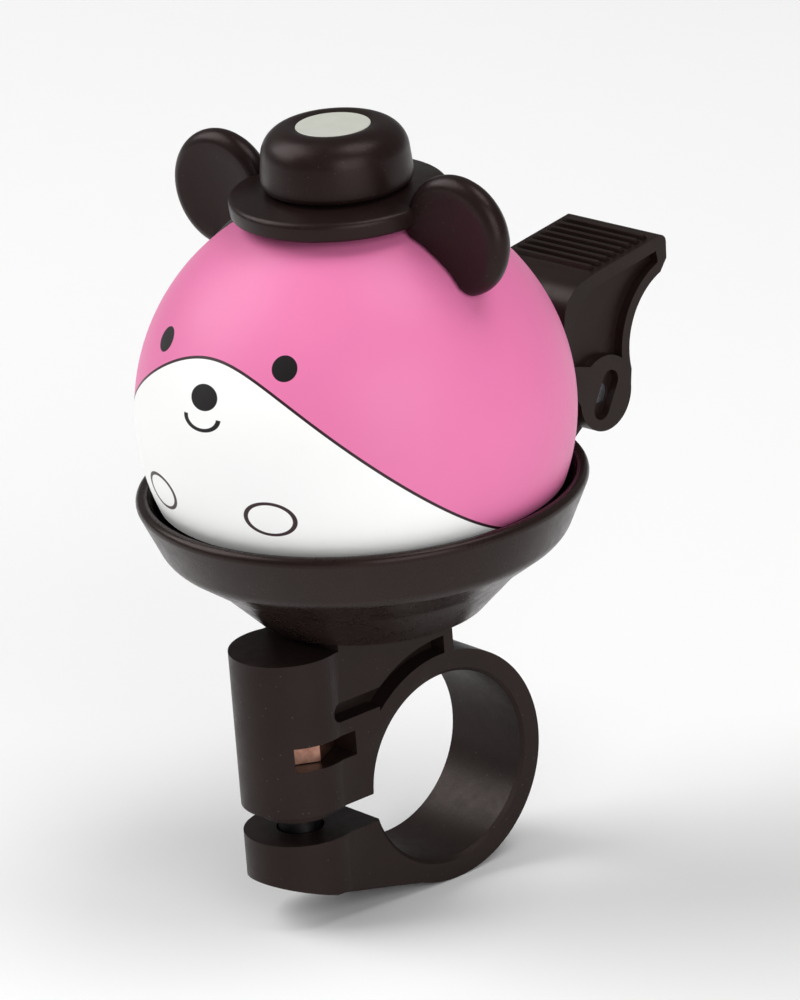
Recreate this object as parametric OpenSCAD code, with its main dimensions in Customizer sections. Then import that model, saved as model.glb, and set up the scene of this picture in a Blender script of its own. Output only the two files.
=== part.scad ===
// Bicycle bell: a round gong with a moulded hat and ears, struck from inside by
// a hammer on a thumb lever, on a clamp for a handlebar.
// Millimetres. The origin is the centre of the clamp's bore, +X runs along the
// handlebar, -Y is the front, where the clamp's screw is, and +Z is up.

/* [Handlebar clamp] */
// Diameter of the handlebar
bar_d = 22.2; // [22:0.1:22.4]
// Radial play between the bar and the open clamp
bar_play = 0.1; // [0.05:0.05:0.15]
// Thickness of the band round the bar
band_wall = 2.6; // [2.4:0.1:2.6]
// Width of the band along the bar
band_w = 12.4; // [12:0.2:12.6]
// Radius of the screw boss
boss_r = 6.5; // [6.4:0.1:6.6]
// Distance of the clamp screw from the bar's axis
screw_y = 17.6; // [17.4:0.1:17.8]
// Height of the gap that the screw closes
gap_h = 3.4; // [3.2:0.1:3.6]

/* [Gong] */
// Outer radius of the gong
gong_r = 25; // [24.9:0.05:25]
// Thickness of the gong's sheet steel
gong_wall = 0.8; // [0.7:0.1:0.9]
// Height of the gong's centre above the bar's axis
gong_z = 43.8; // [43.7:0.1:43.9]
// How far the gong reaches below its widest circle
gong_below = 9.4; // [9.2:0.1:9.5]
// How far the head is turned on the clamp about the gong's axis, in degrees
head_turn = 5; // [-10:1:10]

/* [Hat and ears] */
// Radius of the hat's brim
brim_r = 12.4; // [12.2:0.1:12.6]
// Radius of the hat's crown
crown_r = 8.6; // [8.5:0.05:8.7]
// Radius of the pale disc in the crown
disc_r = 4.25; // [4.1:0.05:4.4]
// Radius of an ear
ear_r = 7; // [6.9:0.1:7.3]
// How far the hat and ears are turned further on the head, in degrees
hat_turn = 3; // [-5:1:5]

/* [Thumb lever] */
// Width of the lever
lever_w = 14.4; // [14.2:0.1:14.6]
// Number of grip ribs on the thumb pad
rib_count = 8; // [6:1:9]
// Radius of the pivot pin
pin_r = 1.25; // [1.2:0.05:1.3]

/* [Hidden] */
$fn = 96;

eps = 0.01;
far = 60;

// Clamp
bore_r = bar_d / 2 + bar_play;
band_r = bore_r + band_wall;
half_w = band_w / 2;
mouth_chamfer = 0.4;
gap_hi = 0.4;
gap_lo = gap_hi - gap_h;
boss_top = 18.9;
lug_bottom = -9.8;
neck_top = 20;
neck_front = -15;
neck_back = 2;
slot_rise = 15.9;
pocket_depth = 2.3;

// Clamp screw, an M5 x 16, its washer and its hexagon nut, 8 mm across the flats
m5_r = 2.5;
m5_hole_r = 2.75;
m5_len = 16;
m5_head_r = 4.1;
m5_head_h = 2.6;
washer_t = 0.8;
head_bore_r = 4.7;
head_seat = -5.6;
nut_w = 8;
nut_t = 2.7;
nut_z = 6.05;
nut_gap = 0.1;
collar_h = 1.4;
screw_collar_r = 4.4;

// Head: everything above the neck turns with it
head_y = -4.33;
m4_r = 2;
m4_hole_r = 2.2;
m4_head_r = 3.5;
m4_head_h = 2.4;
base_seat = 14.2;
hub_top = 23;
post_r = 3.2;
flange_r = 6;
flange_t = 1.2;

// Dish
dish_bottom = neck_top;
dish_wall = 1.9;
foot_edge = [13.4, 20.15];
foot_slope = 46;
waist_edge = [17.95, 24.85];
belly_slope = 37.5;
shoulder = [19.95, 31.2, 4];
side_slope = 63.7;
lip_r = 24.95;
lip_z = 34.5;
lip_round = 0.8;

// Gong and what holds it
gong_in = gong_r - gong_wall;
gong_flat = 24.6;
gong_top = gong_z + gong_flat;
seat_top = gong_top - gong_wall;
post_top = seat_top - washer_t;
web_top = gong_top + 1.8;
washer_top = web_top + washer_t;

// Hat
brim_bottom = 67.6;
brim_edge = 69.7;
crown_base = 70.5;
crown_top = 77.5;
collar_r = 6.7;
ear_x = 17.3;
ear_z = 67.1;

// Lever, its pin at [y, z] from the gong's axis and the bar's axis
pin = [33.4, 36];
lobe_r = 4.3;
half_lever = lever_w / 2;
channel = 4.5;
cheek_gap = 0.2;
ear_in = 2.6;
ear_hub = 2.9;
channel_back = 36.5;
tongue_half = 2.3;
side_recess = 1.2;
waist = [46.5, 39.5, 8.7];
pad_front = [33.1, 51];
pad_back = [44.3, 52.2];

// Return spring
wire_r = 0.35;
coil_r = 1.85;
coil_turns = 5;

// Hammer, on a leaf spring that stands on the lever's tongue
leaf_root = [15.5, 31.1];
leaf_t = 0.5;
leaf_half = 2.2;
leaf_lean = 15;
leaf_len = 24;
hammer_r = 3.2;
hammer_up = 21.2;
hammer_out = 2.7;

function arc(c, r, a0, a1, n) =
    [for (i = [0 : n]) let (a = a0 + (a1 - a0) * i / n) [c[0] + r * cos(a), c[1] + r * sin(a)]];

// A closed tube of the given radius along a list of points in space
function unit(v) = v / norm(v);
function tangent(p, i) = unit(p[min(i + 1, len(p) - 1)] - p[max(i - 1, 0)]);
module wire(p, r, sides = 8) {
    side = [1, 0.02, 0.03];
    rings = [for (i = [0 : len(p) - 1])
        let (t = tangent(p, i),
             across = abs(t * unit(side)) > 0.9 ? unit(cross(t, [0, 0, 1])) : unit(cross(t, side)),
             out = cross(t, across))
        for (k = [0 : sides - 1])
            p[i] + r * (cos(360 * k / sides) * across + sin(360 * k / sides) * out)];
    last = len(rings) - sides;
    walls = [for (i = [0 : len(p) - 2]) for (k = [0 : sides - 1])
        let (a = i * sides + k, b = i * sides + (k + 1) % sides)
        [a, a + sides, b + sides, b]];
    ends = [[for (k = [0 : sides - 1]) k], [for (k = [sides - 1 : -1 : 0]) last + k]];
    polyhedron(rings, concat(walls, ends), 4);
}

// A flat shape drawn in Y and Z, given a width along X and centred on X = 0
module across(w) {
    rotate([90, 0, 90]) linear_extrude(w, center = true) children();
}

// A box between two corners
module block(lo, hi) {
    translate(lo) cube(hi - lo);
}

// Places a piece of the head, whose own Z axis is the gong's axis
module on_head() {
    translate([0, head_y, 0]) rotate(head_turn) children();
}

// A pan-head screw that points up, with a cross recess under its head
module pan_screw(seat, r, length, head_r, head_h) {
    recess = head_r * 0.55;
    difference() {
        union() {
            translate([0, 0, seat - eps]) cylinder(r = r, h = length + eps);
            translate([0, 0, seat - head_h * 0.6]) cylinder(r = head_r, h = head_h * 0.6);
            translate([0, 0, seat - head_h]) cylinder(r1 = head_r * 0.75, r2 = head_r, h = head_h * 0.4);
        }
        for (a = [0, 90])
            rotate(a) block([-recess, -head_r * 0.13, seat - head_h - 1],
                            [recess, head_r * 0.13, seat - head_h * 0.4]);
    }
}

module ring(r_in, r_out, z, t) {
    translate([0, 0, z]) difference() {
        cylinder(r = r_out, h = t);
        translate([0, 0, -1]) cylinder(r = r_in, h = t + 2);
    }
}

// ---- Clamp ----

// The straight underside from the lower lug to the band, where it comes in level with it
lug_slope = 11.5;
lug_heel = 0.985 * band_r * [-sin(lug_slope), -cos(lug_slope)];

module clamp_bracket() {
    color("#2b2322") difference() {
        union() {
            across(band_w) {
                circle(r = band_r);
                translate([-screw_y, gap_hi]) square([screw_y + neck_back, boss_top - gap_hi]);
                translate([neck_front, boss_top - 1]) square([neck_back - neck_front, neck_top - boss_top + 1]);
                polygon([[-screw_y, gap_lo], [-screw_y, lug_bottom], lug_heel, [-bore_r * 0.8, gap_lo]]);
            }
            translate([0, -screw_y, gap_hi]) cylinder(r = boss_r, h = boss_top - gap_hi);
            translate([0, -screw_y, gap_hi - collar_h]) cylinder(r = screw_collar_r, h = collar_h + 1);
            translate([0, -screw_y, lug_bottom]) cylinder(r = boss_r, h = gap_lo - lug_bottom);
        }
        // the bar's bore, with a small chamfer at each mouth
        rotate([0, 90, 0]) cylinder(r = bore_r, h = far, center = true);
        for (s = [-1, 1])
            translate([s * half_w, 0, 0]) rotate([0, s * -90, 0]) translate([0, 0, -eps])
                cylinder(r1 = bore_r + mouth_chamfer + eps, r2 = bore_r - eps, h = mouth_chamfer + 2 * eps);
        // the gap between the lugs, which ends in the bore, with a collar round the screw
        difference() {
            block([-far, -far, gap_lo], [far, -bore_r * 0.7, gap_hi]);
            translate([0, -screw_y, gap_hi - collar_h]) cylinder(r = screw_collar_r, h = far);
        }
        // lightening pocket in each side: round the band, then straight into the boss
        for (s = [-1, 1])
            translate([s * (half_w + 1 - pocket_depth / 2), 0, 0]) across(pocket_depth + 2) {
                intersection() {
                    difference() {
                        circle(r = slot_rise);
                        circle(r = band_r);
                    }
                    translate([-9.6, 9]) square([10.2, 9]);
                }
                translate([-15.4, 10.5]) square([6.4, 2.3]);
                translate([-15.4, 11.65]) circle(r = 1.15);
            }
        // clamp screw, its nut's slot and its head's counterbore
        translate([0, -screw_y, -far]) cylinder(r = m5_hole_r, h = far + 13);
        block([-nut_w / 2 / cos(30) - nut_gap, -screw_y - nut_w / 2 - nut_gap, nut_z - nut_gap],
              [far, -screw_y + nut_w / 2 + nut_gap, nut_z + nut_t + nut_gap]);
        translate([0, -screw_y, -far]) cylinder(r = head_bore_r, h = far + head_seat);
        // sloping toe under the lower lug
        translate([0, -screw_y - 0.6, lug_bottom]) rotate([-17, 0, 0]) block([-far, -far, -far], [far, 0, 0]);
        // the screw that holds the head, from inside the bore
        translate([0, head_y, 0]) cylinder(r = m4_hole_r, h = far);
        translate([0, head_y, 0]) cylinder(r = m4_head_r + 0.2, h = base_seat);
    }
}

module clamp_screw() {
    color("#b9bcc0") translate([0, -screw_y, 0])
        pan_screw(head_seat - washer_t, m5_r, m5_len, m5_head_r, m5_head_h);
}

module clamp_washer() {
    color("#c6c8cb") translate([0, -screw_y, 0]) ring(m5_r + 0.05, m5_head_r + 0.3, head_seat - washer_t, washer_t);
}

module clamp_nut() {
    color("#b98a73") translate([0, -screw_y, nut_z]) difference() {
        cylinder(r = nut_w / 2 / cos(30), h = nut_t, $fn = 6);
        translate([0, 0, -1]) cylinder(r = m5_r + 0.05, h = nut_t + 2);
        translate([0, 0, nut_t - 0.4]) cylinder(r1 = m5_r, r2 = m5_r + 0.5, h = 0.4 + eps);
    }
}

// ---- Base ----

// A point moved into the dish's wall, square to a surface of the given slope
function inward(p, slope) = p + dish_wall * [-sin(slope), cos(slope)];
function shoulder_arc(r) = arc([shoulder[0], shoulder[1]], r, belly_slope - 90, side_slope - 90, 6);

dish_outer = concat(
    [[0, dish_bottom], [foot_edge[0] - 0.3, dish_bottom], foot_edge, waist_edge],
    shoulder_arc(shoulder[2]),
    arc([lip_r, lip_z], lip_round, side_slope - 90, 170, 8),
    [[0, lip_z]]);

lip_inside = inward([lip_r + 1, lip_z - 0.2], side_slope);
dish_inner = concat(
    [[0, dish_bottom + dish_wall + 0.1], [foot_edge[0] - 0.7, dish_bottom + dish_wall + 0.1]],
    [inward(waist_edge, (foot_slope + belly_slope) / 2)],
    shoulder_arc(shoulder[2] - dish_wall),
    [lip_inside, lip_inside + [0, 5], [0, lip_inside[1] + 5]]);

bracket_outline = [[22, 28.4], [23.4, 31], [24.9, 34.8], [27, 37.8], [33.2, 38.88], [34.2, 33.2], [27.5, 28.9]];
bridge_lo = [27, 34.6];
bridge_hi = [28.8, 36.2];

module base_dish() {
    color("#2e2524") on_head() difference() {
        union() {
            rotate_extrude() polygon(dish_outer);
            // two ears at the back carry the lever's pin
            for (s = [-1, 1])
                translate([s * (ear_in + channel - cheek_gap) / 2, 0, 0]) across(channel - cheek_gap - ear_in) {
                    polygon(bracket_outline);
                    translate(pin) circle(r = ear_hub);
                }
            // the bar between them that the return spring pushes against
            block([-ear_in - 0.5, bridge_lo[0], bridge_lo[1]], [ear_in + 0.5, bridge_hi[0], bridge_hi[1]]);
        }
        difference() {
            rotate_extrude() polygon(dish_inner);
            translate([0, 0, dish_bottom]) cylinder(r = flange_r + 1, h = hub_top - dish_bottom);
        }
        translate([0, 0, -1]) cylinder(r = m4_hole_r, h = far);
        translate([0, pin[0], pin[1]]) rotate([0, 90, 0]) cylinder(r = pin_r + 0.05, h = far, center = true);
        // notch in the back of the rim for the lever's tongue
        block([-ear_in - 0.1, 18.4, 28.1], [ear_in + 0.1, bridge_lo[0] - 0.1, far]);
    }
}

module base_screw() {
    color("#b9bcc0") on_head() pan_screw(base_seat, m4_r, m5_len, m4_head_r, m4_head_h);
}

module post_washer() {
    color("#c6c8cb") on_head() ring(m4_hole_r, flange_r, hub_top, washer_t);
}

module centre_post() {
    foot = hub_top + washer_t;
    color("#a9adb2") on_head() difference() {
        union() {
            translate([0, 0, foot]) cylinder(r = flange_r, h = flange_t, $fn = 6);
            translate([0, 0, foot]) cylinder(r = post_r, h = post_top - foot);
        }
        translate([0, 0, foot - 1]) cylinder(r = m4_r + 0.02, h = 11);
        translate([0, 0, post_top - 10]) cylinder(r = m4_r + 0.02, h = 11);
    }
}

// ---- Gong and hat ----

module seat_washer() {
    color("#1c1a1a") on_head() ring(m4_hole_r, 4.2, post_top, washer_t);
}

module gong_dome() {
    color("#e87bb0") on_head() translate([0, 0, gong_z]) difference() {
        intersection() {
            sphere(r = gong_r);
            block([-far, -far, -gong_below], [far, far, gong_flat]);
        }
        intersection() {
            sphere(r = gong_in);
            block([-far, -far, -far], [far, far, gong_flat - gong_wall]);
        }
        cylinder(r = m4_hole_r, h = far);
    }
}

// The space of the gong, with a little play, taken out of what sits on it
module gong_space(play) {
    translate([0, 0, gong_z]) intersection() {
        sphere(r = gong_r + play);
        block([-far, -far, -far], [far, far, gong_flat]);
    }
}

brim_profile = concat(
    [[m4_hole_r, 60], [m4_hole_r, web_top], [collar_r - 0.9, web_top], [collar_r - 0.9, web_top + 2.2],
     [collar_r, web_top + 2.2], [collar_r, crown_base], [8, crown_base - 0.2]],
    arc([brim_r - 0.7, brim_edge - 0.55], 0.7, 78, 0, 4),
    arc([brim_r - 0.5, brim_bottom + 0.4], 0.4, 0, -90, 3),
    [[8, brim_bottom], [5, 60]]);

// An ear's half section: a flat face in front, a round edge and a domed back
ear_profile = concat(
    [[0, -1.1], [4.5, -1.3]],
    arc([ear_r - 1.5, 0], 1.5, -88, 40, 8),
    arc([1, -3.6], 7.3, 42, 82, 6),
    [[0, 3.7]]);

module ear_brim() {
    color("#2b2322") on_head() difference() {
        union() {
            rotate_extrude() polygon(brim_profile);
            for (s = [-1, 1]) rotate(hat_turn)
                translate([s * ear_x, 0, ear_z]) rotate([-90, 0, 0]) rotate_extrude() polygon(ear_profile);
        }
        gong_space(0.12);
        // the ears stand a little clear of the gong
        difference() {
            translate([0, 0, gong_z]) sphere(r = gong_r + 0.5);
            cylinder(r = brim_r, h = 200);
        }
        // the ears stop at the brim
        translate([0, 0, crown_base]) cylinder(r = crown_r + 1, h = 20);
        translate([0, 0, web_top]) cylinder(r = collar_r - 0.9, h = 20);
    }
    color("#2b2322") on_head() ring(collar_r - 0.9, collar_r, web_top - eps, 2.2);
}

module top_washer() {
    color("#c6c8cb") on_head() ring(m4_hole_r, 4.4, web_top, washer_t);
}

module gong_screw() {
    color("#b9bcc0") on_head() translate([0, 0, 2 * washer_top]) mirror([0, 0, 1])
        pan_screw(washer_top, m4_r, 12, m4_head_r, m4_head_h);
}

crown_outer = concat(
    [[0, crown_base + 1], [collar_r + 0.15, crown_base + 1], [collar_r + 0.15, crown_base]],
    arc([crown_r - 0.8, crown_base + 0.8], 0.8, -90, 0, 5),
    [[crown_r, crown_base + 1.6]],
    arc([5, crown_top - 3.4], 3.4, 6, 90, 12),
    [[disc_r + 0.05, crown_top - 0.15], [disc_r + 0.05, crown_top - 0.7], [0, crown_top - 0.7]]);

module crown_cap() {
    color("#2b2322") on_head() difference() {
        rotate_extrude() polygon(crown_outer);
        translate([0, 0, crown_base - 1]) cylinder(r = collar_r + 0.02, h = 4.2);
        translate([0, 0, crown_base + 3]) cylinder(r1 = collar_r + 0.02, r2 = 4.8, h = 2.4);
    }
}

module crown_disc() {
    color("#cdd2c8") on_head() translate([0, 0, crown_top - 0.7]) cylinder(r = disc_r, h = 0.6);
}

// ---- Lever and hammer ----

function along_pad(t) = pad_front + t * (pad_back - pad_front);

module lever_outline() {
    translate(pin) circle(r = lobe_r);
    difference() {
        polygon(concat(
            [[37.7, pin[1]], [29.1, pin[1]], [27, 39.5], [26.9, 44.2]],
            arc([31.4, 46.6], 4, 172, 100, 6),
            [pad_front, pad_back],
            arc([44.2, 51.2], 1, 85, 0, 5),
            [[45.1, 49.2], [44, 47.9], [41, 40], [38, 38]]));
        translate([waist[0], waist[1]]) circle(r = waist[2]);
    }
}

// The hollow in each side, inside a raised edge and clear of the round lobe
module recess_outline() {
    difference() {
        polygon([[28.4, 41], [28.3, 44.2], [29.4, 47], [31.8, 49.2], [43.4, 50.5], [43.6, 49.4],
                 [42, 42], [36, 38.5]]);
        translate([waist[0], waist[1]]) circle(r = waist[2] + 1.3);
        translate(pin) circle(r = lobe_r + 0.4);
    }
}

module slot_outline() {
    translate(pin) rotate(59) {
        square([3.4, 2.6], center = true);
        for (s = [-1, 1]) translate([s * 1.7, 0]) circle(r = 1.3);
    }
}

module thumb_lever() {
    pitch = 0.93 / rib_count;
    color("#292120") on_head() difference() {
        union() {
            difference() {
                across(lever_w) lever_outline();
                // hollow from below, open to the front beside the bracket
                block([-channel, 20, 25], [channel, channel_back, 41]);
                block([-channel, 29.2, 40.9], [channel, channel_back, 46.8]);
            }
            // grip ribs across the thumb pad, each with a steep front
            for (i = [0 : rib_count - 1])
                across(lever_w - 2) polygon([
                    along_pad(pitch * i) - [0, 0.3], along_pad(pitch * i) + [0, 0.6],
                    along_pad(pitch * (i + 0.35)) + [0, 0.6], along_pad(pitch * (i + 0.85)) - [0, 0.3]]);
            // what the return spring's free leg pulls on
            block([-channel - 0.5, 33.4, 40], [channel + 0.5, 34.85, 42]);
            // tongue that reaches through the rim and carries the hammer's leaf spring
            across(2 * tongue_half) polygon([[37, 34], [37, 32.9], [34, 31.9], [31, 31.6], [24, 29.9],
                [21.6, 29], [14.6, 29], [14.6, 30.6], [21.6, 30.6], [24, 31.5], [31, 33.05], [35.6, 33.1]]);
        }
        for (s = [-1, 1]) {
            translate([s * (half_lever + 1 - side_recess / 2), 0, 0]) across(side_recess + 2) recess_outline();
            translate([s * (half_lever + 1), 0, 0]) across(2 + 2) slot_outline();
        }
        translate([0, pin[0], pin[1]]) rotate([0, 90, 0]) cylinder(r = pin_r, h = far, center = true);
        for (y = rivet_y) translate([0, y, 20]) cylinder(r = rivet_r, h = 20);
    }
}

module lever_pin() {
    color("#8f9296") on_head() translate([0, pin[0], pin[1]]) rotate([0, 90, 0])
        cylinder(r = pin_r, h = lever_w - 2 * side_recess - 0.2, center = true);
}

coil_x0 = -(coil_turns * (2 * wire_r + 0.04)) / 2;
function on_coil(turn) =
    [coil_x0 + turn * (2 * wire_r + 0.04),
     pin[0] - coil_r * sin(360 * turn), pin[1] - coil_r * cos(360 * turn)];

module lever_spring() {
    steps = 16;
    fixed_leg = [for (y = [27.4 : 1.2 : 32.2]) [coil_x0, y, pin[1] - coil_r]];
    coil = [for (i = [0 : coil_turns * steps - steps / 4]) on_coil(i / steps)];
    free_end = coil[len(coil) - 1];
    free_leg = [for (z = [1.2 : 1.2 : 4.8]) free_end + [0, 0, z]];
    color("#b4b7bb") on_head() wire(concat(fixed_leg, coil, free_leg), wire_r);
}

// Places a shape drawn with Z along the leaf spring and Y away from its face
module on_leaf() {
    translate([0, leaf_root[0], leaf_root[1]]) rotate([leaf_lean, 0, 0]) children();
}

rivet_r = 0.8;
rivet_y = [17.4, 20];

module hammer_spring() {
    foot_z = leaf_root[1] - leaf_t;
    color("#9da2a8") on_head() {
        difference() {
            block([-leaf_half, leaf_root[0] - 0.2, foot_z], [leaf_half, 21.6, foot_z + leaf_t]);
            for (y = rivet_y) translate([0, y, 20]) cylinder(r = rivet_r, h = 20);
        }
        on_leaf() difference() {
            block([-leaf_half, -leaf_t / 2, -0.4], [leaf_half, leaf_t / 2, leaf_len]);
            translate([0, 0, hammer_up]) rotate([90, 0, 0]) cylinder(r = rivet_r, h = 5, center = true);
        }
    }
}

module spring_rivets() {
    shank_z = 28.4;
    foot_top = leaf_root[1];
    color("#c9a25e") on_head() for (y = rivet_y) translate([0, y, 0]) rotate_extrude()
        polygon([[0, shank_z], [1.2, shank_z], [1.3, 29], [rivet_r, 29], [rivet_r, foot_top],
                 [1.4, foot_top], [1, foot_top + 0.6], [0, foot_top + 0.7]]);
}

module hammer_head() {
    back = leaf_t / 2;
    color("#c9a25e") on_head() on_leaf() translate([0, 0, hammer_up]) {
        intersection() {
            translate([0, hammer_out, 0]) sphere(r = hammer_r);
            block([-far, back, -far], [far, far, far]);
        }
        rotate([-90, 0, 0]) translate([0, 0, -back - 0.5]) cylinder(r = rivet_r, h = 2);
        rotate([-90, 0, 0]) translate([0, 0, -back - 0.6]) cylinder(r = 1.4, h = 0.6);
    }
}

clamp_bracket();
clamp_screw();
clamp_washer();
clamp_nut();
base_dish();
base_screw();
centre_post();
post_washer();
seat_washer();
gong_dome();
ear_brim();
top_washer();
gong_screw();
crown_cap();
crown_disc();
thumb_lever();
lever_pin();
lever_spring();
hammer_spring();
spring_rivets();
hammer_head();
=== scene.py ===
# %% [markdown]
# # A child's bicycle bell
#
# The bell is a round gong of painted sheet steel in a moulded dish. A moulded hat and
# two ears are screwed on top. A thumb lever at the back swings a small hammer against
# the inside of the gong, and a split clamp holds everything on a handlebar.
#
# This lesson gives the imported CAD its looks. Smooth pieces stand for the parts that
# are seen, and the small metal parts inside keep their CAD meshes.

# %% Load the frame
import math

import bmesh
import bpy
from mathutils import Matrix, Vector


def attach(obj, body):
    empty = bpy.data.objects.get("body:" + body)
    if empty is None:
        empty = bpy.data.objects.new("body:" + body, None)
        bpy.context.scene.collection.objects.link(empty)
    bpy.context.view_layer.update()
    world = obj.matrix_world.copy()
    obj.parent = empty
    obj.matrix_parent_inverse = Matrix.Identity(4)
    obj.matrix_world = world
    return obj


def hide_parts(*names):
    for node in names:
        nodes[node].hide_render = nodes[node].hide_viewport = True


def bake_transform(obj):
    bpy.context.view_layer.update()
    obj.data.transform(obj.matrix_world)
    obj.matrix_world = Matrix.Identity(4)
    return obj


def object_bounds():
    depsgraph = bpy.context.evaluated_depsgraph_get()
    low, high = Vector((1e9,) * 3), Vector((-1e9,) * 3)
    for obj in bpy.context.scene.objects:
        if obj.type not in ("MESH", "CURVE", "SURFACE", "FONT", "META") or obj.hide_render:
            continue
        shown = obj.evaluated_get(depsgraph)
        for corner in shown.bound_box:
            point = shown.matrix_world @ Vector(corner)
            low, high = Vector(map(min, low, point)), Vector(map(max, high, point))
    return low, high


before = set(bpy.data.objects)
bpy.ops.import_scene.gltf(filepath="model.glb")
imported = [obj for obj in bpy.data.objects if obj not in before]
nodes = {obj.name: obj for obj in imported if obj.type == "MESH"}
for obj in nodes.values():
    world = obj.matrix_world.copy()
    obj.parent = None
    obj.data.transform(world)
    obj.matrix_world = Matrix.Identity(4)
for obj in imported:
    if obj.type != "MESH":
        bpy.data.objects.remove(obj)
box_at_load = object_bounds()
print("CAD nodes:", len(nodes))

# %% [markdown]
# ## Sizes
#
# All sizes below are millimetres in the row frame. The origin is the centre of the
# clamp's bore, and Z runs up the gong's axis. The head sits 4.33 mm in front of the
# bar's axis and is turned 5 degrees on the clamp, so pieces of the head are shaped
# round their own Z axis and placed with one matrix.

# %% The sizes that several pieces share
MM = 0.001
GONG_R = 25.0
GONG_WALL = 0.8
GONG_Z = 43.8
GONG_FLAT = 24.6
GONG_BELOW = 9.4
HEAD_Y = -4.33
HEAD_TURN = math.radians(5)
HAT_TURN = math.radians(3)
PIN = (33.4, 36.0)
COIL_R = 1.85
WIRE_R = 0.35
COIL_TURNS = 5
LEAF_ROOT = (15.5, 31.1)
LEAF_LEAN = math.radians(15)

TO_METRES = Matrix.Scale(MM, 4)
ON_HEAD = TO_METRES @ Matrix.Translation((0, HEAD_Y, 0)) @ Matrix.Rotation(HEAD_TURN, 4, "Z")
print("gong diameter:", 2 * GONG_R, "mm")

# %% [markdown]
# ## Tools for shaping
#
# Most of the bell is round about one axis, so one tool turns a half section into a
# ring, as a lathe or a mould cavity would. A second tool presses out a flat outline.
# A third takes one solid from another.


# %% Turning, extruding and cutting
def arc(centre, radius, start, end, steps):
    """Points of an arc in a half section, angles in degrees from the outward direction."""
    points = []
    for i in range(steps + 1):
        angle = math.radians(start + (end - start) * i / steps)
        points.append((centre[0] + radius * math.cos(angle), centre[1] + radius * math.sin(angle)))
    return points


def turned(profile, steps=192):
    """A closed half section of (radius, height) points, turned about Z."""
    bm = bmesh.new()
    verts = [bm.verts.new((r, 0, z)) for r, z in profile]
    edges = [bm.edges.new(pair) for pair in zip(verts, verts[1:] + verts[:1])]
    bmesh.ops.spin(bm, geom=verts + edges, cent=(0, 0, 0), axis=(0, 0, 1),
                   angle=2 * math.pi, steps=steps, use_merge=True)
    bmesh.ops.remove_doubles(bm, verts=bm.verts, dist=1e-4)
    bmesh.ops.recalc_face_normals(bm, faces=bm.faces)
    return bm


def pressed(outline, x_from, x_to):
    """A flat outline of (y, z) points given a thickness along X."""
    bm = bmesh.new()
    face = bm.faces.new([bm.verts.new((x_from, y, z)) for y, z in outline])
    out = bmesh.ops.extrude_face_region(bm, geom=[face])["geom"]
    moved = [g for g in out if isinstance(g, bmesh.types.BMVert)]
    bmesh.ops.translate(bm, verts=moved, vec=(x_to - x_from, 0, 0))
    bmesh.ops.recalc_face_normals(bm, faces=bm.faces)
    return bm


def block(low, high):
    """A box between two corners."""
    bm = bmesh.new()
    bmesh.ops.create_cube(bm, size=1)
    low, high = Vector(low), Vector(high)
    bmesh.ops.scale(bm, verts=bm.verts, vec=high - low)
    bmesh.ops.translate(bm, verts=bm.verts, vec=(low + high) / 2)
    return bm


def as_object(name, bm, place=ON_HEAD, angle=35):
    """The mesh moved into the row frame and shaded smooth up to the given edge angle."""
    mesh = bpy.data.meshes.new(name)
    bm.to_mesh(mesh)
    bm.free()
    mesh.transform(place)
    mesh.shade_smooth()
    mesh.set_sharp_from_angle(angle=math.radians(angle))
    obj = bpy.data.objects.new(name, mesh)
    bpy.context.scene.collection.objects.link(obj)
    return obj


def combine(obj, other, operation, angle=35):
    """Takes another solid from obj, or adds it, and keeps only the result."""
    step = obj.modifiers.new(operation.lower(), "BOOLEAN")
    step.operation = operation
    step.solver = "EXACT"
    step.object = other
    result = bpy.data.meshes.new_from_object(obj.evaluated_get(bpy.context.evaluated_depsgraph_get()))
    obj.modifiers.clear()
    obj.data = result
    obj.data.name = obj.name
    bpy.data.objects.remove(other)
    obj.data.shade_smooth()
    obj.data.set_sharp_from_angle(angle=math.radians(angle))
    return obj


def soften(obj, width, segments=3, angle=40):
    """The small radius that a mould or a press leaves on an edge."""
    edge = obj.modifiers.new("edge_radius", "BEVEL")
    edge.width = width * MM
    edge.segments = segments
    edge.limit_method = "ANGLE"
    edge.angle_limit = math.radians(angle)
    edge.harden_normals = True
    edge.use_clamp_overlap = True
    return obj


def dress(obj, body, slot, *materials, replaces=()):
    """Gives a piece its materials, its body and the CAD nodes it stands for; the slot argument is not used.
    """
    obj.data.materials.clear()
    for material in materials:
        obj.data.materials.append(material)
    if body:
        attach(obj, body)
    if replaces:
        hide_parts(*replaces)
    print(obj.name, len(obj.data.vertices), "vertices")
    return obj


# %% [markdown]
# ## Tools for materials
#
# Colours are written as the usual hex codes and turned linear in one place. Every
# pattern is measured in millimetres: the object coordinates are metres, so the
# mapping scales them by 1000 first.


# %% Colour, nodes and a base for every material
def linear(code):
    """An sRGB hex code as linear colour, opaque."""
    values = [int(code[i:i + 2], 16) / 255 for i in (1, 3, 5)]
    return [v / 12.92 if v <= 0.04045 else ((v + 0.055) / 1.055) ** 2.4 for v in values] + [1.0]


def add(tree, kind, *inputs, out=0, named=None, **settings):
    """Adds a node, sets it up, fills its inputs with values or links, and returns one output."""
    node = tree.nodes.new("ShaderNode" + kind)
    for name, value in settings.items():
        setattr(node, name, value)
    for key, value in list(enumerate(inputs)) + list((named or {}).items()):
        if isinstance(value, bpy.types.NodeSocket):
            tree.links.new(value, node.inputs[key])
        elif value is not None:
            node.inputs[key].default_value = value
    return node.outputs[out]


def new_material(name):
    """An empty material with its tree and object coordinates in millimetres."""
    material = bpy.data.materials.new(name)
    material.use_nodes = True
    tree = material.node_tree
    tree.nodes.clear()
    place = add(tree, "TexCoord", out="Object")
    millimetres = add(tree, "Mapping", place, named={"Scale": (1000, 1000, 1000)})
    return material, tree, millimetres


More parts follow.
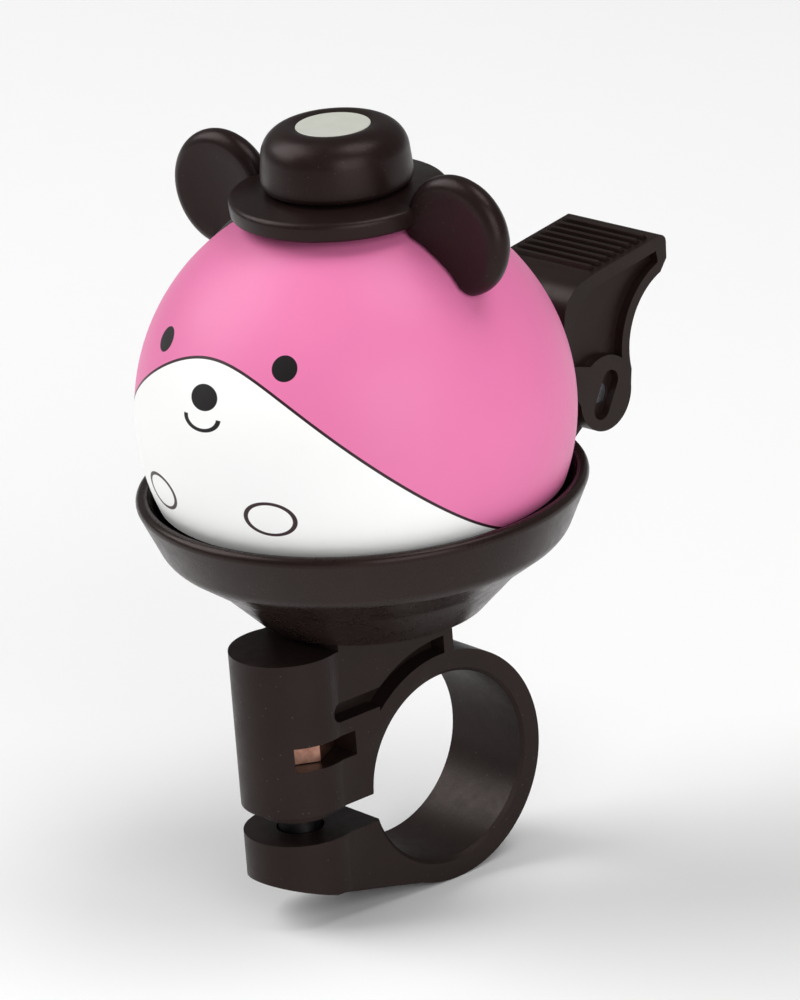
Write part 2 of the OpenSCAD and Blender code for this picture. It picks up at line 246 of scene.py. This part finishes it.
def finish_material(tree, shader):
    """Joins the shader to the material's output."""
    output = tree.nodes.new("ShaderNodeOutputMaterial")
    tree.links.new(shader, output.inputs["Surface"])


# %% [markdown]
# ## Moulded plastic
#
# The hat, the dish, the lever and the clamp are injection moulded in ABS, dyed a
# very dark brown. The mould cavity is spark eroded, which leaves a fine grain, so
# highlights are satin; their slight warmth is a painted warm tint standing in for a
# warm cast of the light. Handling leaves pale specks of dust and slight scuffs.


# %% ABS
def abs_plastic(name, code, roughness, grain, specks):
    material, tree, place = new_material(name)
    # slow changes of tone where the melt flowed and cooled at different speeds
    flow = add(tree, "TexNoise", place, named={"Scale": 0.12, "Detail": 3, "Roughness": 0.5})
    tone = add(tree, "MapRange", flow, 0.3, 0.7, 0.88, 1.14)
    # spark-eroded grain, about 0.25 mm across
    fine = add(tree, "TexNoise", place, named={"Scale": 4.0, "Detail": 2, "Roughness": 0.6})
    scuff = add(tree, "TexNoise", place, named={"Scale": 0.6, "Detail": 5, "Roughness": 0.7})
    # dust specks, one here and there, a tenth of a millimetre across
    cells = add(tree, "TexVoronoi", place, named={"Scale": 0.9, "Randomness": 1.0}, out="Distance")
    speck = add(tree, "MapRange", cells, 0.03, 0.08, specks, 0.0)
    base = add(tree, "VectorMath", linear(code)[:3], named={"Scale": tone}, operation="SCALE")
    colour = add(tree, "Mix", named={0: speck, 6: base, 7: linear("#8d8078")}, data_type="RGBA", out=2)
    rough = add(tree, "MapRange", scuff, 0.3, 0.75, roughness - 0.05, roughness + 0.09)
    height = add(tree, "Bump", named={"Strength": grain, "Distance": 0.00004, "Height": fine})
    # the specular tint is painted: a warm tint on the highlights standing in for a warm cast of the light
    shader = add(tree, "BsdfPrincipled", named={
        "Base Color": colour, "Roughness": rough, "IOR": 1.54, "Specular IOR Level": 0.18,
        "Specular Tint": linear("#ffe6e4"), "Normal": height})
    finish_material(tree, shader)
    return material


hat_plastic = abs_plastic("moulded_abs_hat", "#1c1211", 0.33, 0.36, 0.14)
base_plastic = abs_plastic("moulded_abs_dish", "#1f1614", 0.28, 0.18, 0.06)
lever_plastic = abs_plastic("moulded_abs_lever", "#1c1311", 0.38, 0.32, 0.10)
clamp_plastic = abs_plastic("moulded_abs_clamp", "#1e1614", 0.40, 0.40, 0.25)
print("plastics made")

# %% [markdown]
# ## Steel, brass, copper and fibre
#
# The screws, washers and post are zinc plated, which gives a slightly cloudy, bluish
# bright grey. The springs are drawn and oiled wire, darker and smoother. The nut has
# a copper wash against rust, the hammer and rivets are turned brass, and the soft
# washer under the gong is pressed fibre.


# %% Metals and fibre
def metal(name, light, dark, roughness, patch=0.5, streak=(1, 1, 1)):
    """A metal that clouds between two tones; streak stretches the pattern along the tool's path."""
    material, tree, place = new_material(name)
    along = add(tree, "Mapping", place, named={"Scale": streak})
    cloud = add(tree, "TexNoise", place, named={"Scale": patch, "Detail": 4, "Roughness": 0.6})
    lines = add(tree, "TexNoise", along, named={"Scale": 5.0, "Detail": 2})
    share = add(tree, "MapRange", cloud, 0.35, 0.65, 0.0, 1.0)
    colour = add(tree, "Mix", named={0: share, 6: linear(light), 7: linear(dark)}, data_type="RGBA", out=2)
    rough = add(tree, "MapRange", lines, 0.3, 0.7, roughness - 0.06, roughness + 0.08)
    height = add(tree, "Bump", named={"Strength": 0.1, "Distance": 0.00002, "Height": lines})
    shader = add(tree, "BsdfPrincipled", named={
        "Base Color": colour, "Metallic": 1.0, "Roughness": rough, "Normal": height})
    finish_material(tree, shader)
    return material


zinc = metal("zinc_plated_steel", "#b9bec2", "#9da3a6", 0.32)
black_zinc = metal("black_zinc_plated_steel", "#3a3838", "#2a2828", 0.40)
spring_steel = metal("oiled_spring_steel", "#8a8a88", "#6f6e6c", 0.26, patch=1.2, streak=(4, 0.3, 4))
copper = metal("copper_washed_steel", "#b58b79", "#94695a", 0.38, patch=0.7)
brass = metal("turned_brass", "#c9a863", "#b18f4c", 0.28, streak=(1, 6, 1))


def fibre_material():
    material, tree, place = new_material("pressed_fibre")
    mat = add(tree, "TexNoise", place, named={"Scale": 3.0, "Detail": 5, "Roughness": 0.7})
    colour = add(tree, "Mix", named={0: mat, 6: linear("#3a2f2a"), 7: linear("#57463c")},
                 data_type="RGBA", out=2)
    height = add(tree, "Bump", named={"Strength": 0.4, "Distance": 0.00005, "Height": mat})
    shader = add(tree, "BsdfPrincipled", named={"Base Color": colour, "Roughness": 0.8, "Normal": height})
    finish_material(tree, shader)
    return material


fibre = fibre_material()
print("metals and fibre made")

# %% [markdown]
# ## The painted gong
#
# A real gong like this is pressed from a steel disc, zinc plated, then sprayed with
# enamel. The face is pad printed in two passes, white and then dark, and sealed with
# a thin clear coat. The face here is a plain animal face set out on round numbers:
# round eyes, a wide nose, a smile, a white bib and two oval paws.
#
# The print is drawn in longitude and latitude on the ball. Each shape is a distance
# in millimetres, so every line keeps one width. Longitude counts from the front, and
# the left half mirrors the right.


# %% Gong enamel with its print
def gong_enamel():
    material, tree, place = new_material("printed_gloss_enamel")
    turn = Matrix.Rotation(-HEAD_TURN, 3, "Z")
    centre = turn @ Vector((0, HEAD_Y, GONG_Z))
    ball = add(tree, "Mapping", place, named={"Location": -centre, "Rotation": (0, 0, -HEAD_TURN)})
    x, y, z = [add(tree, "SeparateXYZ", ball, out=axis) for axis in range(3)]

    def maths(operation, *values):
        return add(tree, "Math", *values, operation=operation)

    # longitude from the front, latitude above the widest circle, both in degrees
    front = maths("MULTIPLY", y, -1.0)
    longitude = maths("MULTIPLY", maths("ARCTAN2", x, front), 180 / math.pi)
    aside = maths("ABSOLUTE", longitude)
    latitude = maths("MULTIPLY", maths("ARCSINE", maths("DIVIDE", z, GONG_R + 0.01)), 180 / math.pi)
    degree = GONG_R * math.pi / 180

    def across_from(angle, here, at_latitude):
        return maths("MULTIPLY", maths("SUBTRACT", angle, here), degree * math.cos(math.radians(at_latitude)))

    def above(here):
        return maths("MULTIPLY", maths("SUBTRACT", latitude, here), degree)

    def ink(distance, half_width=0.0):
        """1 inside the shape, 0 outside, with the soft edge of a printed dot."""
        return add(tree, "MapRange", distance, half_width - 0.025, half_width + 0.025, 1.0, 0.0)

    def line(distance, half_width=0.15):
        return ink(maths("ABSOLUTE", distance), half_width)

    def ellipse(u, v, half_u, half_v):
        round_u, round_v = maths("DIVIDE", u, half_u), maths("DIVIDE", v, half_v)
        squares = maths("ADD", maths("MULTIPLY", round_u, round_u), maths("MULTIPLY", round_v, round_v))
        far = maths("SQRT", squares)
        return maths("MULTIPLY", maths("SUBTRACT", far, 1.0), min(half_u, half_v))

    # the white bib: its edge falls in one smooth curve from the front to the sides
    def bib_top(angle):
        return add(tree, "MapRange", angle, 0.0, 100.0, 30.0, -25.0, interpolation_type="SMOOTHSTEP")

    top_here = bib_top(aside)
    slope = maths("MULTIPLY", maths("SUBTRACT", bib_top(maths("ADD", aside, 0.5)), top_here), 2.0)
    lean = maths("SQRT", maths("ADD", maths("MULTIPLY", slope, slope), 1.0))
    bib_edge = maths("DIVIDE", above(top_here), lean)
    bib = ink(bib_edge)

    # round eyes, a wide nose, a plain smile and two oval paws
    eyes = ink(ellipse(across_from(aside, 25.0, 30.0), above(30.0), 1.5, 1.5))
    nose = ink(ellipse(across_from(longitude, 0.0, 20.0), above(20.0), 2.0, 1.5))
    smile_u, smile_v = across_from(longitude, 0.0, 15.0), above(15.0)
    smile_ring = maths("SUBTRACT", maths("ABSOLUTE", ellipse(smile_u, smile_v, 2.5, 1.5)), 0.2)
    smile = ink(maths("MAXIMUM", smile_ring, smile_v))
    paws = line(ellipse(across_from(aside, 20.0, -10.0), above(-10.0), 3.0, 2.0), 0.19)

    # print the layers in order: pink, white, fine lines, solid dark shapes
    cloud = add(tree, "TexNoise", place, named={"Scale": 0.08, "Detail": 2})
    pink_tone = add(tree, "Mix", named={0: cloud, 6: linear("#e174a6"), 7: linear("#e67cad")},
                    data_type="RGBA", out=2)
    white_tone = add(tree, "Mix", named={0: cloud, 6: linear("#f4f5f4"), 7: linear("#fbfbf9")},
                     data_type="RGBA", out=2)
    painted = add(tree, "Mix", named={0: bib, 6: pink_tone, 7: white_tone}, data_type="RGBA", out=2)
    fine_lines = maths("MAXIMUM", line(bib_edge, 0.17), paws)
    lined = add(tree, "Mix", named={0: fine_lines, 6: painted, 7: linear("#2e161e")}, data_type="RGBA", out=2)
    solid = maths("MAXIMUM", maths("MAXIMUM", eyes, nose), smile)
    printed = add(tree, "Mix", named={0: solid, 6: lined, 7: linear("#0c0608")}, data_type="RGBA", out=2)

    # sprayed enamel never lies quite flat: a slow ripple and a fine mist
    ripple = add(tree, "TexNoise", place, named={"Scale": 0.35, "Detail": 2})
    height = add(tree, "Bump", named={"Strength": 0.15, "Distance": 0.00003, "Height": ripple})
    mist = add(tree, "TexNoise", place, named={"Scale": 2.5, "Detail": 3})
    rough = add(tree, "MapRange", mist, 0.3, 0.7, 0.44, 0.52)
    shader = add(tree, "BsdfPrincipled", named={
        "Base Color": printed, "Roughness": rough, "IOR": 1.5, "Specular IOR Level": 0.3,
        "Normal": height,
        "Coat Weight": 0.08, "Coat Roughness": 0.3, "Coat Normal": height,
        "Sheen Weight": 0.05, "Sheen Roughness": 0.4, "Sheen Tint": linear("#efe4d8")})
    finish_material(tree, shader)
    return material


gong_paint = gong_enamel()
print("enamel made, nodes:", len(gong_paint.node_tree.nodes))

# %% [markdown]
# ## The pale disc
#
# The disc in the crown is a separate moulding in a pale grey-green plastic, pushed
# into its seat. Its face shows the faint rings that the mould's lathe tool left.


# %% Disc plastic
def disc_material():
    material, tree, place = new_material("pale_moulded_disc")
    centred = add(tree, "Mapping", place, named={"Location": (0, -HEAD_Y, 0)})
    rings = add(tree, "TexWave", centred, named={"Scale": 1.1, "Distortion": 0.6, "Detail": 1},
                wave_type="RINGS", rings_direction="Z", out="Fac")
    cloud = add(tree, "TexNoise", place, named={"Scale": 0.5, "Detail": 4})
    colour = add(tree, "Mix", named={0: cloud, 6: linear("#bdbeb4"), 7: linear("#cbccc2")},
                 data_type="RGBA", out=2)
    height = add(tree, "Bump", named={"Strength": 0.06, "Distance": 0.00002, "Height": rings})
    shader = add(tree, "BsdfPrincipled", named={
        "Base Color": colour, "Roughness": 0.42, "IOR": 1.5, "Normal": height})
    finish_material(tree, shader)
    return material


disc_plastic = disc_material()

# %% [markdown]
# ## The gong
#
# The gong is a ball of 50 mm with the top flattened for its seat and the bottom
# open. The half section follows the sheet, 0.8 mm thick, so turning it gives the
# outside, the inside and the cut edge at once. The inside keeps the bare plating.

# %% Build the gong
half_top = math.degrees(math.asin(GONG_FLAT / GONG_R))
half_bottom = math.degrees(math.asin(-GONG_BELOW / GONG_R))
inner_r = GONG_R - GONG_WALL
inner_flat = GONG_FLAT - GONG_WALL
inner_top = math.degrees(math.asin(inner_flat / inner_r))
inner_bottom = math.degrees(math.asin((-GONG_BELOW + 0.02) / inner_r))
gong_section = (
    arc((0, GONG_Z), GONG_R, half_bottom, half_top, 100)
    + [(2.2, GONG_Z + GONG_FLAT), (2.2, GONG_Z + inner_flat)]
    + arc((0, GONG_Z), inner_r, inner_top, inner_bottom, 80)
)
gong = as_object("gong_shell", turned(gong_section, 240))
soften(gong, 0.18)
dress(gong, "bell", "gong_paint", gong_paint, zinc, replaces=["gong_dome"])
gong_centre = ON_HEAD @ Vector((0, 0, GONG_Z))
for face in gong.data.polygons:
    inside = (face.center - gong_centre).length < (GONG_R - GONG_WALL / 2) * MM
    face.material_index = 1 if inside and face.center.z < (GONG_Z + inner_flat + 0.3) * MM else 0

# %% [markdown]
# ## The hat's brim and the ears
#
# Brim and ears are one moulding. The brim's underside follows the gong. Each ear is
# a lens: a flat front with a rounded edge, and a domed back. The ears are cut clear
# of the gong by a ball half a millimetre larger, so they never damp its ring.

# %% Build the brim and the ears
gong_seat = arc((0, GONG_Z), GONG_R + 0.12, math.degrees(math.asin(23.8 / 25.12)),
                math.degrees(math.asin(GONG_FLAT / 25.12)), 12)
brim_section = (
    [(2.2, 68.4), (2.2, 70.2), (5.8, 70.2), (5.8, 72.4), (6.7, 72.4), (6.7, 70.5), (8.0, 70.3)]
    + arc((11.7, 69.15), 0.7, 78, 0, 8)
    + arc((11.9, 68.0), 0.4, 0, -90, 6)
    + gong_seat
)
brim = as_object("hat_brim", turned(brim_section))
ear_section = (
    [(0, -1.1), (4.5, -1.3)] + arc((5.5, 0), 1.5, -88, 40, 14) + arc((1, -3.6), 7.3, 42, 82, 12) + [(0, 3.7)]
)
for side in (-1, 1):
    ear = turned(ear_section, 128)
    stand = Matrix.Rotation(HAT_TURN, 4, "Z") @ Matrix.Translation((side * 17.3, 0, 67.1))
    bmesh.ops.transform(ear, matrix=stand @ Matrix.Rotation(math.radians(-90), 4, "X"), verts=ear.verts)
    ear = as_object("ear_lens", ear)
    ball = bmesh.new()
    bmesh.ops.create_icosphere(ball, subdivisions=6, radius=GONG_R + 0.5,
                               matrix=Matrix.Translation((0, 0, GONG_Z)))
    combine(ear, as_object("gong_room", ball), "DIFFERENCE")
    combine(brim, ear, "UNION")
hat_room = as_object("hat_room", turned([(0, 70.52), (9.6, 70.52), (9.6, 90), (0, 90)]))
combine(brim, hat_room, "DIFFERENCE")
dress(brim, "bell", "hat_plastic", hat_plastic, replaces=["ear_brim"])

# %% [markdown]
# ## The crown and its disc
#
# The crown is a thin moulded cap that snaps over the brim's collar and hides the
# gong's screw. Its foot is undercut, which leaves the dark groove over the brim.

# %% Build the crown and the disc
crown_section = (
    [(0, 75.9), (4.8, 75.9), (6.72, 73.5), (6.72, 71.5), (6.85, 70.5)]
    + arc((7.8, 71.3), 0.8, -90, 0, 8)
    + [(8.6, 72.1)]
    + arc((5, 74.1), 3.4, 6, 90, 24)
    + [(4.3, 77.35), (4.3, 76.8), (0, 76.8)]
)
crown = as_object("hat_crown", turned(crown_section))
dress(crown, "bell", "hat_plastic", hat_plastic, replaces=["crown_cap"])
disc = as_object("hat_disc", turned([(0, 76.8), (4.25, 76.8), (4.25, 77.4), (0, 77.4)]))
soften(disc, 0.12)
dress(disc, "bell", "disc_plastic", disc_plastic, replaces=["crown_disc"])

# %% [markdown]
# ## The dish
#
# The dish is a moulded cup under the gong, with a wall of 1.9 mm. A notch at the
# back lets the lever's tongue in, and two small ears behind it carry the pin.

# %% Build the dish
dish_section = (
    [(2.2, 20), (12.8, 20)]
    + arc((13.0, 20.45), 0.45, -80, -46, 4)
    + [(17.6, 24.49), (17.95, 24.82), (18.35, 25.16)]
    + arc((19.95, 31.2), 4.0, -52.5, -26.3, 24)
    + arc((24.95, 34.5), 0.8, -26.3, 170, 24)
    + [(24.25, 35.1)]
    + arc((19.95, 31.2), 2.1, -26.3, -52.5, 20)
    + [(16.67, 26.26), (12.7, 22.1), (7, 22.1), (7, 23), (2.2, 23)]
)
dish = as_object("dish_cup", turned(dish_section))
combine(dish, as_object("tongue_notch", block((-2.7, 18.4, 28.1), (2.7, 26.9, 60))), "DIFFERENCE")
bracket_outline = [
    (22, 28.4), (23.4, 31), (24.9, 34.8), (27, 37.8), (33.2, 38.88), (34.2, 33.2), (27.5, 28.9)]
for side in (-1, 1):
    ear = as_object("bracket_ear", pressed(bracket_outline, side * 2.6, side * 4.3))
    hub = as_object("bracket_hub", pressed(arc(PIN, 2.9, 0, 354, 59), side * 2.6, side * 4.3))
    combine(ear, hub, "UNION")
    hole = as_object("pin_hole", pressed(arc(PIN, 1.3, 0, 350, 35), side * 2.0, side * 5.0))
    combine(dish, combine(ear, hole, "DIFFERENCE"), "UNION")
bridge = as_object("bracket_bridge", block((-3.1, 27, 34.6), (3.1, 28.8, 36.2)))
combine(dish, bridge, "UNION")
dress(dish, "bell", "base_plastic", base_plastic, replaces=["base_dish"])

# %% [markdown]
# ## The clamp and the lever
#
# Both are plain extruded shapes with pockets, so their CAD meshes are already right.
# A copy of each gets the small edge radius that a mould leaves, which is what
# catches the light along their edges.


# %% Soft-edged copies of the CAD meshes
def moulded_copy(name, node, width):
    """A merged copy of a CAD node with its flat faces joined, ready for an edge radius."""
    bm = bmesh.new()
    bm.from_mesh(nodes[node].data)
    bmesh.ops.remove_doubles(bm, verts=bm.verts, dist=1e-7)
    bmesh.ops.dissolve_limit(bm, angle_limit=math.radians(0.5), verts=bm.verts, edges=bm.edges)
    bmesh.ops.recalc_face_normals(bm, faces=bm.faces)
    piece = as_object(name, bm, place=Matrix.Identity(4))
    return soften(piece, width, segments=2)


clamp = moulded_copy("clamp_body", "clamp_bracket", 0.22)
dress(clamp, "bell", "clamp_plastic", clamp_plastic, replaces=["clamp_bracket"])
lever = moulded_copy("lever_body", "thumb_lever", 0.16)
dress(lever, "lever", "lever_plastic", lever_plastic, replaces=["thumb_lever"])

# %% [markdown]
# ## The return spring
#
# The spring is wound from 0.7 mm wire: five turns round the lever's pin. One leg
# pushes on the dish's bridge and the other on the lever.

# %% Build the return spring
wire = bmesh.new()
pitch = 2 * WIRE_R + 0.04
start_x = -COIL_TURNS * pitch / 2
bmesh.ops.create_circle(wire, segments=16, radius=WIRE_R,
                        matrix=Matrix.Translation((start_x, PIN[0] - 6, PIN[1] - COIL_R))
                        @ Matrix.Rotation(math.radians(90), 4, "X"))
rim = wire.edges[:]


def pull_wire(edges, vec, steps):
    """Draws the open end of the wire along a straight line and returns its new rim."""
    for _ in range(steps):
        out = bmesh.ops.extrude_edge_only(wire, edges=edges)["geom"]
        ends = {g for g in out if isinstance(g, bmesh.types.BMVert)}
        bmesh.ops.translate(wire, verts=list(ends), vec=Vector(vec) / steps)
        edges = [e for e in wire.edges if e.verts[0] in ends and e.verts[1] in ends]
    return edges


rim = pull_wire(rim, (0, 6, 0), 4)
turns = COIL_TURNS - 0.25
coil = bmesh.ops.spin(wire, geom=rim + list({v for e in rim for v in e.verts}), cent=(0, PIN[0], PIN[1]),
                      axis=(-1, 0, 0), angle=2 * math.pi * turns, steps=int(turns * 32),
                      dvec=(pitch / 32, 0, 0))["geom_last"]
rim = [g for g in coil if isinstance(g, bmesh.types.BMEdge)]
pull_wire(rim, (0, 0, 4.8), 4)
bmesh.ops.holes_fill(wire, edges=[e for e in wire.edges if e.is_boundary], sides=0)
bmesh.ops.recalc_face_normals(wire, faces=wire.faces)
spring = as_object("return_spring", wire)
dress(spring, None, "spring_steel", spring_steel, replaces=["lever_spring"])
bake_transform(spring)

# %% [markdown]
# ## The hammer's leaf spring
#
# The leaf is a strip of spring steel, 0.5 mm thick and 4.4 mm wide. Its foot is
# riveted to the lever's tongue. The blade leans back 15 degrees and carries the brass
# hammer. On a real bell it whips on after the lever stops, strikes and springs away.
# Here its travel ends 0.2 mm short of the gong.

# %% Build the leaf spring
foot = as_object("leaf_foot", block((-2.2, 15.3, 30.6), (2.2, 21.6, 31.1)))
for rivet_y in (17.4, 20.0):
    hole = as_object("rivet_hole", turned([(0, 29), (0.8, 29), (0.8, 33), (0, 33)], 48),
                     place=ON_HEAD @ Matrix.Translation((0, rivet_y, 0)))
    combine(foot, hole, "DIFFERENCE")
blade = block((-2.2, -0.25, -0.4), (2.2, 0.25, 24))
bmesh.ops.subdivide_edges(blade, edges=[e for e in blade.edges if abs(e.verts[0].co.z - e.verts[1].co.z) > 1],
                          cuts=24, use_grid_fill=True)
leaf_place = ON_HEAD @ Matrix.Translation((0, *LEAF_ROOT)) @ Matrix.Rotation(LEAF_LEAN, 4, "X")
leaf = as_object("hammer_leaf", blade, place=leaf_place)
combine(leaf, foot, "UNION")
dress(leaf, None, "spring_steel", spring_steel, replaces=["hammer_spring"])
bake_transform(leaf)

# %% [markdown]
# ## The small metal parts
#
# The screws, washers, nut, post, pin, rivets and hammer are shown from the CAD. They
# are small or hidden, so they only need their real materials.

# %% Materials for the CAD nodes that stay
small_parts = {
    "clamp_screw": black_zinc, "clamp_washer": black_zinc, "base_screw": zinc, "centre_post": zinc,
    "post_washer": zinc, "top_washer": zinc, "gong_screw": zinc, "lever_pin": zinc,
    "clamp_nut": copper, "seat_washer": fibre, "spring_rivets": brass, "hammer_head": brass,
}
for name, material in small_parts.items():
    nodes[name].data.materials.clear()
    nodes[name].data.materials.append(material)
print("CAD nodes shown:", len(small_parts))

# %% [markdown]
# ## The studio
#
# A pale floor and large soft lamps, as in a product picture. A long lens stands a
# metre away, a little above and to the right of the front. The Standard view
# transform keeps the enamel's colours as they are written.

# %% Floor, lamps and camera
floor_height = box_at_load[0].z / MM - 0.05
floor_mesh = bmesh.new()
bmesh.ops.create_grid(floor_mesh, x_segments=1, y_segments=1, size=3000)
bmesh.ops.translate(floor_mesh, verts=floor_mesh.verts, vec=(0, 0, floor_height))
floor = as_object("studio_floor", floor_mesh, place=TO_METRES)
floor_paint, floor_tree, floor_place = new_material("matt_white_floor")
floor_cloud = add(floor_tree, "TexNoise", floor_place, named={"Scale": 0.004})
floor_tone = add(floor_tree, "Mix", named={0: floor_cloud, 6: linear("#f4f4f4"), 7: linear("#fafafa")},
                 data_type="RGBA", out=2)
floor_shader = add(floor_tree, "BsdfPrincipled", named={"Base Color": floor_tone, "Roughness": 0.9})
finish_material(floor_tree, floor_shader)
floor.data.materials.append(floor_paint)

world = bpy.data.worlds.new("studio_air")
bpy.context.scene.world = world
bpy.context.scene.view_settings.view_transform = "Standard"
world.use_nodes = True
world.node_tree.nodes["Background"].inputs["Color"].default_value = linear("#ffffff")
world.node_tree.nodes["Background"].inputs["Strength"].default_value = 0.2
aim = Vector((0, 0, 0.035))


def lamp(name, place, size, power):
    """A soft box that faces the bell, place in metres."""
    light = bpy.data.lights.new(name, "AREA")
    light.size = size
    light.energy = power
    box = bpy.data.objects.new(name, light)
    box.location = place
    box.rotation_euler = (aim - Vector(place)).to_track_quat("-Z", "Y").to_euler()
    bpy.context.scene.collection.objects.link(box)


lamp("key_softbox", (-0.8, -0.55, 0.9), 1.0, 13)
lamp("side_softbox", (1.1, -0.35, 0.45), 0.9, 8)
lamp("top_softbox", (0.35, 0.25, 1.1), 0.6, 5)

azimuth, elevation, roll = math.radians(50.04), math.radians(20.68), math.radians(4.62)
back = Vector((math.sin(azimuth) * math.cos(elevation), -math.cos(azimuth) * math.cos(elevation),
               math.sin(elevation)))
level_right = Vector((math.cos(azimuth), math.sin(azimuth), 0))
level_up = back.cross(level_right)
right = level_right * math.cos(roll) - level_up * math.sin(roll)
up = level_right * math.sin(roll) + level_up * math.cos(roll)
lens = bpy.data.cameras.new("studio_lens")
lens.sensor_fit = "HORIZONTAL"
lens.sensor_width = 36
lens.lens = 391.87
camera = bpy.data.objects.new("studio_camera", lens)
camera.matrix_world = Matrix((
    (right.x, up.x, back.x, 0), (right.y, up.y, back.y, 0), (right.z, up.z, back.z, 0), (0, 0, 0, 1)))
lens_distance, shift_right, shift_up = 1000, -1.57, 29.05
camera.location = (lens_distance * back + shift_right * right + shift_up * up) * MM
bpy.context.scene.collection.objects.link(camera)
bpy.context.scene.camera = camera

# %% [markdown]
# ## The CAD's box
#
# The smooth pieces should fill the same box as the CAD. The CAD's box is printed.

# %% The CAD's box
print("CAD box:", [round(v * 1000, 1) for corner in box_at_load for v in corner])
